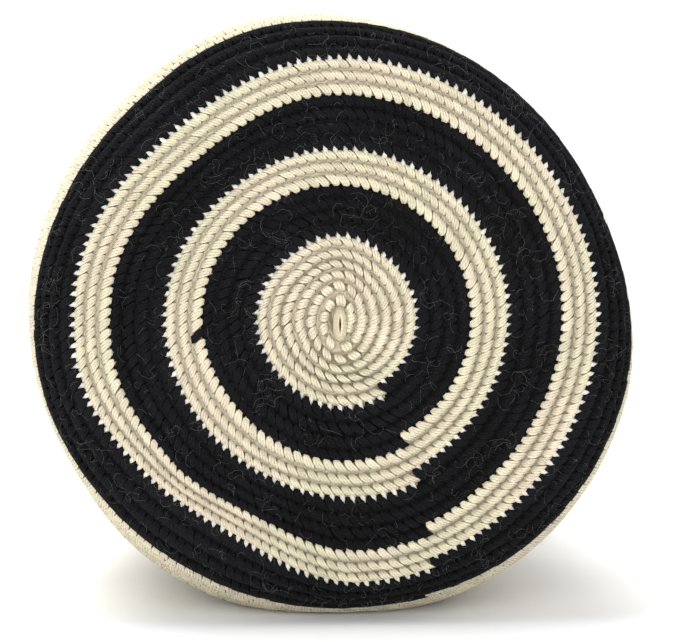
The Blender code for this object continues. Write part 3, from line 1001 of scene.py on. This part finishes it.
@dataclass
class BagBody:
    """The crocheted bag: base, wall and rim, worked in one spiral.

    Attributes:
        fabric: Its shape.
        eyelets_per_side: Eyelets on each side of the strap's ends.
        eyelet_inset: How far in from the rim they are.
        eyelet_reach: How far round from the side the last one is.
        eyelet_radius: The open radius of one.
        front_rounds: Rounds of the wall that are worked more finely, next to the base.
        wall_pieces: Pieces that the rest of the wall is made in.
        core_depth: How far in from the outside the sheet behind the stitches is.
        core_columns: Its columns, once round the bag.
        bar_width: Width of the small bars that show on its inside.
        hairs: How many loose hairs there are.
        hair_radius: Half the thickness of one.
    """

    fabric: Fabric
    eyelets_per_side: int = 8
    eyelet_inset: float = 0.030
    eyelet_reach: float = math.radians(66)
    eyelet_radius: float = 0.0050
    front_rounds: int = 6
    wall_pieces: int = 3
    core_depth: float = 0.0024
    core_columns: int = 120
    bar_width: float = 0.0055
    hairs: int = 1000
    hair_radius: float = 0.000036

    def eyelet_angles(self) -> list:
        """Angles of the eyelets, from the right-hand side counterclockwise."""
        step = 2 * self.eyelet_reach / (self.eyelets_per_side - 1)
        right = [-self.eyelet_reach + step * i for i in range(self.eyelets_per_side)]
        left = [math.pi + angle for angle in right]
        half = self.eyelets_per_side // 2
        return right[half:] + left + [FULL_TURN + angle for angle in right[:half]]

    def eyelet_along(self) -> float:
        """How far along the fabric the eyelets are."""
        return self.fabric.length() - self.eyelet_inset

    def build(self) -> None:
        """Makes and dresses every piece of the bag's body."""
        holes = [(self.eyelet_along(), angle) for angle in self.eyelet_angles()]
        rounds = Rounds(self.fabric, holes)
        cream, black = CREAM_FINISH.make(), BLACK_FINISH.make()
        base = self.fabric.base_rounds()
        changed = [i for i in range(1, base) if not self.same_yarn(i)]
        kept = [i for i in range(base) if i not in changed]
        for name, yarn, foot, stitch, finish, seed in (
                ("base_cream_rounds", Yarn.CREAM, CREAM_FOOT, CREAM_STITCH, cream, 3),
                ("base_black_rounds", Yarn.BLACK, BLACK_FOOT, BLACK_STITCH, black, 4)):
            runs = [(rounds.gather(changed, {yarn}), foot), (rounds.gather(kept, {yarn}), stitch)]
            piece = rounds.work(name, runs, finish, seed)
            dress(piece, "cream_yarn", *(["bag_body"] if yarn is Yarn.CREAM else []))
        drawn = DRAWN_FINISH.make()
        for number, index in enumerate(self.changes_to_black()):
            above = rounds.places(index, index + 1, {Yarn.BLACK})
            dress(rounds.work(f"drawn_loops_{number + 1}", [(above, POINTED_LOOP)], drawn,
                              20 + number), "cream_yarn")
        tops = rounds.gather(kept[1:], {Yarn.CREAM})
        dress(rounds.work("cream_loops", [(tops, TOP_LOOP)], cream, 30), "cream_yarn")
        last = base + self.front_rounds
        front = rounds.places(base, last, {Yarn.CREAM})
        dress(rounds.work("wall_front_rounds", [(front, EDGE_STITCH)], cream, 5), "cream_yarn")
        edges = np.linspace(last, base + self.fabric.wall_rounds, self.wall_pieces + 1).round()
        for number, (low, high) in enumerate(zip(edges[:-1].astype(int), edges[1:].astype(int))):
            wall = rounds.places(low, high, {Yarn.CREAM})
            dress(rounds.work(f"wall_rounds_{number + 1}", [(wall, WALL_STITCH)], cream,
                              6 + number), "cream_yarn")
        dress(self.make_core(), "cream_yarn")
        dress(self.make_rim(cream), "cream_yarn")
        dress(self.make_start(cream), "cream_yarn")
        dress(self.make_eyelet_edges(cream), "cream_yarn")
        dress(self.make_hairs(HAIR_FINISH.make()), "cream_yarn")

    def same_yarn(self, index: int) -> bool:
        """Whether a round and the one below it are worked in one yarn."""
        rounds = self.fabric.round_heights()
        return rounds[index][1] is rounds[index - 1][1]

    def changes_to_black(self) -> list:
        """The rounds where the cream yarn gives way to the black."""
        rounds = self.fabric.round_heights()
        return [i for i in range(1, self.fabric.base_rounds())
                if rounds[i][1] is Yarn.BLACK and rounds[i - 1][1] is Yarn.CREAM]

    def make_core(self) -> bpy.types.Object:
        """The sheet that the stitches stand on, cut open at the eyelets.

        Returns:
            The piece, in the yarn of each round.
        """
        rounds = self.fabric.round_heights()
        count = len(rounds)
        share = np.arange(self.core_columns + 1)[None, :] / self.core_columns
        grid = np.arange(count + 1)[:, None] + share
        along, angle = self.fabric.spiral(np.minimum(grid, count))
        along[0] = 0.0001
        outer = self.fabric.point(along, angle)
        normal = self.fabric.normal(along, angle)
        skins = [outer - normal * depth for depth in (self.core_depth, self.fabric.thickness - 0.0004)]
        index = np.arange(grid.size).reshape(grid.shape)
        quads = np.stack([index[:-1, :-1], index[1:, :-1], index[1:, 1:], index[:-1, 1:]], axis=-1)
        middles = (outer[:-1, :-1] + outer[1:, 1:]) / 2
        keep = np.ones(middles.shape[:2], bool)
        for hole_angle in self.eyelet_angles():
            hole = self.fabric.point(self.eyelet_along(), hole_angle)
            keep &= np.linalg.norm(middles - hole, axis=-1) > self.eyelet_radius + 0.0012
        row_phase = grid * FULL_TURN - math.pi / 2
        girths = np.array([self.fabric.girth(max(edge, 0.002)) for edge in self.fabric.round_edges()])
        bars = 2 ** np.round(np.log2(girths / self.bar_width))
        column_phase = share * FULL_TURN * bars[:, None]
        own = np.stack([row_phase, column_phase, row_phase * 0], axis=-1)
        mesh = bpy.data.meshes.new("fabric_core")
        verts = np.concatenate([skin.reshape(-1, 3) for skin in skins])
        outside = quads[keep]
        inside = outside[:, ::-1] + index.size
        mesh.from_pydata(verts.tolist(), [], np.concatenate([outside, inside]).tolist())
        strand = mesh.attributes.new("strand", "FLOAT_VECTOR", "POINT")
        both = np.tile(own.reshape(-1, 3), (2, 1)).astype(np.float32)
        strand.data.foreach_set("vector", both.ravel())
        dark = np.array([yarn is Yarn.BLACK for _, yarn in rounds])
        face_dark = np.broadcast_to(dark[:, None], keep.shape)[keep]
        mesh.polygons.foreach_set("material_index", np.tile(face_dark, 2).astype(np.int32))
        for finish in (CREAM_CORE, BLACK_CORE):
            mesh.materials.append(finish.make())
        mesh.shade_smooth()
        core = bpy.data.objects.new("fabric_core", mesh)
        bpy.context.scene.collection.objects.link(core)
        return core

    def make_rim(self, yarn: bpy.types.Material) -> bpy.types.Object:
        """The finishing round: two plied strands that run round the open edge.

        Args:
            yarn: Its material.

        Returns:
            The piece.
        """
        mesh = Mesh()
        angles = np.linspace(0, FULL_TURN, 721)
        edge = self.fabric.point(self.fabric.length(), angles)
        normal = self.fabric.normal(self.fabric.length() - 0.001, angles)
        middle = edge - normal * self.fabric.thickness * 0.5
        for start in (0.0, math.pi):
            twist = angles * 75 + start
            along = np.cos(twist)[:, None] * np.array([0, 0.0013, 0])
            line = middle + along + normal * np.sin(twist)[:, None] * 0.0015
            add_strand(mesh, line, 0.00145, 6, 0.5)
        return mesh.build("rim_edge", yarn)

    def make_start(self, yarn: bpy.types.Material) -> bpy.types.Object:
        """The starting loop in the middle of the base: a small upright ring of yarn.

        Args:
            yarn: Its material.

        Returns:
            The piece.
        """
        mesh = Mesh()
        middle = np.array(self.fabric.point(0.0, 0.0))
        turn = np.linspace(0.25, FULL_TURN * 1.04, 31)
        line = middle + np.stack([0.0016 * np.cos(turn), -0.0003 - 0.00008 * turn,
                                  0.0052 * np.sin(turn) - 0.0016], axis=-1)
        add_strand(mesh, line, 0.00125, 8, 0.5)
        return mesh.build("starting_loop", yarn)

    def make_eyelet_edges(self, yarn: bpy.types.Material) -> bpy.types.Object:
        """The yarn that edges each eyelet.

        Args:
            yarn: Its material.

        Returns:
            The piece.
        """
        mesh = Mesh()
        turn = np.linspace(0, FULL_TURN, 25)
        for angle in self.eyelet_angles():
            along = self.eyelet_along()
            middle = self.fabric.point(along, angle)
            normal = self.fabric.normal(np.array([along]), np.array([angle]))[0]
            down = unit(self.fabric.point(along + 0.003, angle) - middle)
            side = np.cross(normal, down)
            for depth in (0.0006, 0.0036):
                ring = np.cos(turn)[:, None] * down + np.sin(turn)[:, None] * side
                line = middle + ring * (self.eyelet_radius + 0.0011) - normal * depth
                add_strand(mesh, line, 0.0013, 6, 0.4)
        return mesh.build("eyelet_edges", yarn)

    def make_hairs(self, hair: bpy.types.Material) -> bpy.types.Object:
        """Loose curly hairs that stand off the black yarn.

        Args:
            hair: Their material.

        Returns:
            The piece.
        """
        rng = np.random.default_rng(HAIR_SEED)
        mesh = Mesh()
        edges = self.fabric.round_edges()
        bands, start = [], 0
        for yarn, count in self.fabric.rings:
            if yarn is Yarn.BLACK:
                bands.append((edges[start], edges[start + count]))
            start += count
        shares = np.array([high * high - low * low for low, high in bands])
        picks = rng.choice(len(bands), self.hairs, p=shares / shares.sum())
        share = np.linspace(0, 1, 5)
        for pick in picks:
            low, high = bands[pick]
            along = low + (high - low) * rng.random()
            angle = rng.random() * FULL_TURN
            start_at = self.fabric.point(along, angle)
            normal = self.fabric.normal(np.array([along]), np.array([angle]))[0]
            side = unit(np.cross(normal, rng.normal(size=3)))
            other = np.cross(normal, side)
            length = 0.0020 + 0.0060 * rng.random() ** 1.6
            curl = rng.normal(0, 2.2)
            heading = curl * share
            way = np.cos(heading)[:, None] * side + np.sin(heading)[:, None] * other
            height = 0.0004 + (0.0006 + 0.0012 * rng.random()) * np.sin(math.pi * share)
            line = start_at + length * share[:, None] * way + normal * height[:, None]
            add_strand(mesh, line, self.hair_radius, 3, rng.random())
        return mesh.build("loose_hairs", hair)


@dataclass
class Strap:
    """The woven shoulder strap, from inside the rim, over the floor and back.

    Its route repeats the frame's own, so that it lies where its node lies.
    """

    fabric: Fabric
    width: float = 0.065
    thick: float = 0.0032
    drift: float = 0.016
    tuck: float = 0.055
    clearance: float = 0.0032
    reach: float = 0.400
    gap: float = 0.0003
    ribs: int = 13
    step: float = 0.0033
    stitches: int = 12
    seams: tuple = (0.006, 0.046)

    def route(self) -> np.ndarray:
        """The strap's middle line in the bag's own plane."""
        stand = self.fabric.thickness + self.gap + self.thick / 2
        upper = self.fabric.point(self.fabric.length(), math.pi / 2)
        lower = self.fabric.point(self.fabric.length(), -math.pi / 2)
        top, bottom = upper[2] - stand - self.clearance, lower[2] + stand + self.clearance
        mouth, lip = upper[1], lower[1]
        floor, fold = self.thick / 2, mouth + self.reach
        points = [
            (mouth - self.tuck, top + 0.004), (mouth - 0.028, top + 0.001),
            (mouth - 0.006, top - 0.001), (mouth + 0.016, top - 0.006),
            (mouth + 0.040, top - 0.026), (mouth + 0.060, top - 0.062),
            (mouth + 0.078, top - 0.105), (mouth + 0.101, top - 0.142), (mouth + 0.140, 0.018),
            (mouth + 0.190, 0.0085), (mouth + 0.240, 0.0095), (mouth + 0.290, 0.0085),
            (mouth + 0.340, 0.0110), (fold - 0.026, 0.0175), (fold - 0.008, 0.0175),
            (fold, 0.0100), (fold - 0.010, 0.0030), (fold - 0.030, floor), (mouth + 0.320, floor),
            (mouth + 0.240, floor), (mouth + 0.150, floor), (mouth + 0.070, floor),
            (lip + 0.044, 0.0040), (lip + 0.024, bottom - 0.014), (lip + 0.004, bottom),
            (lip - 0.028, bottom + 0.0005), (lip - self.tuck, bottom),
        ]
        line = smooth_line([(self.fabric.origin.x, along, up) for along, up in points], self.step)
        line[:, 2] = np.maximum(line[:, 2], floor)
        return line

    def build(self) -> None:
        """Makes the band and the stitches that hold its ends, and dresses them."""
        line = self.route()
        count = len(line)
        share = np.arange(count) / (count - 1)
        line[:, 0] += self.drift * smooth(2 * np.minimum(share, 1 - share))
        band = self.make_band(line)
        dress(band, "strap_yarn", "shoulder_strap")
        dress(self.make_stitching(line), "strap_yarn")

    def make_band(self, line: np.ndarray) -> bpy.types.Object:
        """The woven band: plied warp cords side by side, pinched where the weft crosses.

        Args:
            line: Its middle line.

        Returns:
            The piece.
        """
        ahead = unit(np.gradient(line, axis=0))
        normal = unit(np.cross(ACROSS, ahead))
        share = np.arange(len(line)) * self.step
        cord_width = self.width / self.ribs
        mesh = Mesh()
        rng = np.random.default_rng(9)
        for rib in range(self.ribs):
            middle = (rib + 0.5) * cord_width - self.width / 2
            phase = math.pi * (rib % 2)
            weave = np.sin(share / (2 * self.step) * math.pi + phase)
            offset = line + ACROSS * middle + normal * (weave * 0.0002)[:, None]
            quads, triangles = tube_faces(len(line), 6)
            turn = np.arange(6) * FULL_TURN / 6
            pinch = 1 + 0.05 * weave
            across = np.cos(turn)[None] * (cord_width * 0.56) * pinch[:, None]
            bulge = np.sign(np.sin(turn)) * np.abs(np.sin(turn)) ** 0.8 * (self.thick / 2 - 0.0002)
            up = bulge[None] * pinch[:, None]
            points = offset[:, None] + ACROSS * across[..., None] + normal[:, None] * up[..., None]
            ends = np.array([offset[0], offset[-1]])
            own = np.stack(np.broadcast_arrays(share[:, None] + rng.random(), across, up), axis=-1)
            own_ends = np.array([[0, 0, 0], [share[-1], 0, 0]])
            mesh.add(np.concatenate([points.reshape(-1, 3), ends])[None],
                     np.concatenate([own.reshape(-1, 3), own_ends])[None],
                     np.array([rng.random()]), quads, triangles)
        return mesh.build("strap_band", STRAP_FINISH.make())

    def make_stitching(self, line: np.ndarray) -> bpy.types.Object:
        """The thread that sews each end of the strap inside the rim.

        Args:
            line: The strap's middle line.

        Returns:
            The piece.
        """
        mesh = Mesh()
        share = np.linspace(-1, 1, 7)[:, None]
        run = np.array([0.0013, 0.0021, 0]) * share
        places = ((np.arange(self.stitches) + 0.5) / self.stitches - 0.5) * self.width * 0.92
        for end, up in ((line, -UP), (line[::-1], UP)):
            for inset in self.seams:
                at = end[round(inset / self.step)]
                arch = up * (self.thick / 2 + 0.0006 * (1 - share ** 4))
                for place in places:
                    add_strand(mesh, at + ACROSS * place + run + arch, 0.00055, 5, 0.5)
        return mesh.build("strap_stitching", CORD_FINISH.make())


@dataclass
class Drawstring:
    """The twisted cord laced through the eyelets, and the two tassels on its ends."""

    fabric: Fabric
    body: BagBody
    radius: float = 0.0025
    clearance: float = 0.0011
    step: float = 0.0065
    tail_drop: float = 0.015
    tail_side: float = 0.0135
    tail_stand: float = 0.0125
    tail_bend: float = 0.0105
    tail_rise: float = 0.0065
    twist: float = 0.0085
    spacing: float = 0.0014
    lean: float = 0.32
    crossing: float = 0.3
    strand_offset: float = 0.46
    strand_radius: float = 0.56

    def off(self, angle: float, height: float, shift: float = 0.0) -> np.ndarray:
        """A point that stands off the fabric beside an eyelet.

        Args:
            angle: The eyelet's angle.
            height: How far off the fabric's outside.
            shift: How far round the bag from the eyelet.

        Returns:
            The point.
        """
        along = self.body.eyelet_along()
        before, after = self.fabric.point(along, np.array([angle - ANGLE_STEP, angle + ANGLE_STEP]))
        shifted = angle + shift / (np.linalg.norm(after - before) / (2 * ANGLE_STEP))
        normal = self.fabric.normal(np.array([along]), np.array([shifted]))[0]
        return self.fabric.point(along, shifted) + normal * height

    def tassel_tops(self) -> list:
        """Where the two tassels' heads begin."""
        angles = self.body.eyelet_angles()
        return [self.off(angle, self.tail_stand) + np.array([0, way * self.tail_side, -self.tail_drop])
                for angle, way in ((angles[0], -1), (angles[-1], 1))]

    def route(self) -> np.ndarray:
        """The cord's middle line, from one tassel to the other."""
        outside = self.radius + self.clearance
        inside = -self.fabric.thickness - outside
        angles = self.body.eyelet_angles()
        points = []
        for i, angle in enumerate(angles):
            first, second = (outside, inside) if i % 2 == 0 else (inside, outside)
            middle, lean = (first + second) / 2, (second - first) * self.lean
            points.append(self.off(angle, first, -self.step))
            points.append(self.off(angle, middle - lean, -self.step * self.crossing))
            points.append(self.off(angle, middle + lean, self.step * self.crossing))
            points.append(self.off(angle, second, self.step))
            if i + 1 < len(angles):
                spans = 4 if angles[i + 1] - angle > math.radians(30) else 2
                for j in range(1, spans):
                    points.append(self.off(angle + (angles[i + 1] - angle) * j / spans, second))
        upper, lower = self.tassel_tops()
        rise = UP * self.tail_rise
        first_bend = self.off(angles[0], self.tail_bend) + np.array([0, -0.0070, -0.001])
        last_bend = self.off(angles[-1], self.tail_bend) + np.array([0, 0.0070, -0.001])
        head = [upper, upper + rise, first_bend]
        tail = [last_bend, lower + rise, lower]
        return np.array(head + points[1:-1] + tail)

    def build(self) -> None:
        """Makes and dresses the cord and both tassels."""
        line = smooth_line(self.route(), self.spacing)
        LOG.info("drawstring length %.3f m", line_length(line))
        ahead = unit(np.gradient(line, axis=0))
        side = carried(np.cross(ahead[0], [0.0, 1.0, 0.0]), ahead)
        other = np.cross(ahead, side)
        turn = np.arange(len(line)) * self.spacing / self.twist * FULL_TURN
        mesh = Mesh()
        for start in (0.0, math.pi):
            across = np.cos(turn + start)[:, None] * side + np.sin(turn + start)[:, None] * other
            strand = line + across * self.radius * self.strand_offset
            add_strand(mesh, strand, self.radius * self.strand_radius, 6, 0.5)
        dress(mesh.build("drawstring_cord", CORD_FINISH.make()), "cord_yarn", "drawstring")
        tassel_yarn, binding_yarn = TASSEL_FINISH.make(), BINDING_FINISH.make()
        for seed, (name, top) in enumerate(zip(("upper_tassel", "lower_tassel"), self.tassel_tops())):
            Tassel(name, top, seed).build(tassel_yarn, binding_yarn)


@dataclass
class Tassel:
    """A bundle of yarn folded over the cord's end, with yarn wound round its neck."""

    name: str
    top: np.ndarray
    seed: int
    length: float = 0.060
    head: float = 0.0062
    neck: float = 0.0042
    skirt: float = 0.0100
    binding: float = 0.0075
    strands: int = 84

    def build(self, yarn: bpy.types.Material, binding_yarn: bpy.types.Material) -> None:
        """Makes and dresses the tassel and its binding.

        Args:
            yarn: The tassel's material.
            binding_yarn: The binding's material.
        """
        dress(self.make_bundle(yarn), "tassel_yarn", self.name)
        dress(self.make_binding(binding_yarn), "binding_yarn", self.name + "_binding")

    def make_bundle(self, yarn: bpy.types.Material) -> bpy.types.Object:
        """The loose strands, from the top of the head to their cut ends.

        Args:
            yarn: Their material.

        Returns:
            The piece.
        """
        rng = np.random.default_rng(60 + self.seed)
        mesh = Mesh()
        drop = np.array([0.0, -0.25, -0.5, -0.8, -1.25, -1.75, -2.1, -2.7, -3.2]) * self.head
        spread = np.array([0.20, 0.72, 0.92, 0.98, 0.92, 0.66, 0.56, 0.56, 0.60]) * self.head
        for number in range(self.strands):
            turn = number * 2.39996 + rng.normal(0, 0.05)
            inward = math.sqrt((number + 0.5) / self.strands)
            low = np.linspace(-3.9 * self.head, -self.length + rng.random() * 0.0025, 6)
            flare = np.linspace(0.62, 1.0, 6) * self.skirt * 0.93 * inward
            sway = np.linspace(0, 1, 6) ** 2 * rng.normal(0, 0.0007)
            radius = np.concatenate([spread * inward, flare + sway])
            heights = np.concatenate([drop, low])
            angle = turn + np.concatenate([np.zeros(9), np.linspace(0, rng.normal(0, 0.10), 6)])
            line = np.stack([radius * np.cos(angle), radius * np.sin(angle), heights], axis=-1)
            add_strand(mesh, self.top + line, 0.00072, 5, rng.random())
        return mesh.build(self.name + "_strands", yarn)

    def make_binding(self, yarn: bpy.types.Material) -> bpy.types.Object:
        """The turns of yarn wound round the neck.

        Args:
            yarn: Their material.

        Returns:
            The piece.
        """
        mesh = Mesh()
        turns = 6
        turn = np.linspace(0, FULL_TURN * turns, 24 * turns)
        high = -2 * self.head - 0.0010
        heights = high - (self.binding - 0.0020) * turn / turn[-1]
        radius = self.neck + 0.0011
        line = np.stack([radius * np.cos(turn), radius * np.sin(turn), heights], axis=-1)
        add_strand(mesh, self.top + line, 0.00078, 6, 0.5)
        return mesh.build(self.name + "_winding", yarn)


@dataclass(frozen=True)
class SoftLight:
    """One soft square light aimed at the middle of the base.

    Attributes:
        name: Its name.
        place: Where it is, from the middle of the base.
        size: The side of its square.
        power: Watts.
        colour: Its colour.
    """

    name: str
    place: tuple
    size: float
    power: float
    colour: tuple

    def build(self, middle: Vector) -> None:
        """Makes the light, by where the middle of the base is."""
        data = bpy.data.lights.new(self.name, "AREA")
        data.size = self.size
        data.energy = self.power
        data.color = self.colour
        light = bpy.data.objects.new(self.name, data)
        light.location = middle + Vector(self.place)
        light.rotation_mode = "QUATERNION"
        light.rotation_quaternion = (-Vector(self.place)).to_track_quat("-Z", "Y")
        bpy.context.scene.collection.objects.link(light)


SOFT_LIGHTS = (SoftLight("window_light", (-0.35, 0.35, 1.6), 1.4, 34.0, (1.0, 0.99, 0.97)),
               SoftLight("front_light", (-0.3, -1.7, 0.25), 1.6, 26.0, (1.0, 0.995, 0.98)))


@dataclass
class Studio:
    """The pale floor and sweep, the soft lights and the camera."""

    base_middle: Vector
    distance: float = 0.90
    azimuth: float = math.radians(-4.0)
    elevation: float = math.radians(3.0)
    frame_width: float = 0.280
    aim_right: float = 0.0040
    aim_up: float = 0.0

    def build(self) -> None:
        """Makes the floor, the lights and the camera."""
        bpy.context.scene.view_settings.view_transform = "Standard"
        self.make_floor()
        self.make_lights()
        self.make_camera()

    def make_floor(self) -> None:
        """A white paper floor that curves up into a backdrop, clear when seen from behind."""
        mesh = bmesh.new()
        outline = [(-2.5, 0.0), (1.6, 0.0)]
        outline += [(1.6 + 0.6 * math.sin(turn), 0.6 - 0.6 * math.cos(turn))
                    for turn in np.linspace(0.1, math.pi / 2, 12)]
        outline.append((2.2, 3.0))
        rows = [[mesh.verts.new((side, along, up)) for along, up in outline]
                for side in (-3.0, 3.0)]
        for i in range(len(outline) - 1):
            mesh.faces.new((rows[0][i], rows[1][i], rows[1][i + 1], rows[0][i + 1]))
        data = bpy.data.meshes.new("studio_floor")
        mesh.to_mesh(data)
        mesh.free()
        data.shade_smooth()
        nodes = Nodes("paper_floor")
        grain = nodes.mix(nodes.noise(30.0), (0.88, 0.88, 0.875, 1), (0.91, 0.91, 0.91, 1))
        nodes.put(nodes.shader.inputs["Base Color"], grain)
        nodes.shader.inputs["Roughness"].default_value = 0.8
        clear = nodes.add("BsdfTransparent").outputs[0]
        behind = nodes.add("NewGeometry").outputs["Backfacing"]
        one_sided = nodes.add("MixShader", _0=behind, _1=nodes.shader.outputs[0], _2=clear).outputs[0]
        nodes.put(nodes.tree.nodes["Material Output"].inputs["Surface"], one_sided)
        data.materials.append(nodes.material)
        floor = bpy.data.objects.new("studio_floor", data)
        bpy.context.scene.collection.objects.link(floor)

    def make_lights(self) -> None:
        """The soft lights and a bright surround."""
        for light in SOFT_LIGHTS:
            light.build(self.base_middle)
        world = bpy.data.worlds.new("bright_room")
        world.use_nodes = True
        background = world.node_tree.nodes["Background"]
        background.inputs["Color"].default_value = (0.95, 0.97, 1.0, 1)
        background.inputs["Strength"].default_value = 0.96
        bpy.context.scene.world = world

    def make_camera(self) -> None:
        """A camera a little to the left of the base and above it."""
        data = bpy.data.cameras.new("camera")
        data.sensor_width = 36.0
        data.lens = data.sensor_width * self.distance / self.frame_width
        data.dof.use_dof = False
        camera = bpy.data.objects.new("camera", data)
        flat = math.cos(self.elevation)
        back = Vector((math.sin(self.azimuth) * flat, -math.cos(self.azimuth) * flat,
                       math.sin(self.elevation)))
        target = self.base_middle + Vector((self.aim_right, 0, self.aim_up))
        camera.location = target + back * self.distance
        camera.rotation_mode = "QUATERNION"
        camera.rotation_quaternion = (-back).to_track_quat("-Z", "Y")
        bpy.context.scene.collection.objects.link(camera)
        bpy.context.scene.camera = camera


def main(frame: dict) -> None:
    """Builds the bag round the frame.
    """
    logging.basicConfig(level=logging.INFO, format="%(name)s %(message)s")
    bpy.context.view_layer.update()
    low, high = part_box("bag_body")
    origin = Vector(((low.x + high.x) / 2, low.y, 0.0))
    fabric = Fabric(origin)
    Studio(Vector((origin.x, low.y, fabric.axis_height))).build()
    body = BagBody(fabric)
    body.build()
    Strap(fabric).build()
    Drawstring(fabric, body).build()


if __name__ == "__main__":
    main(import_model())
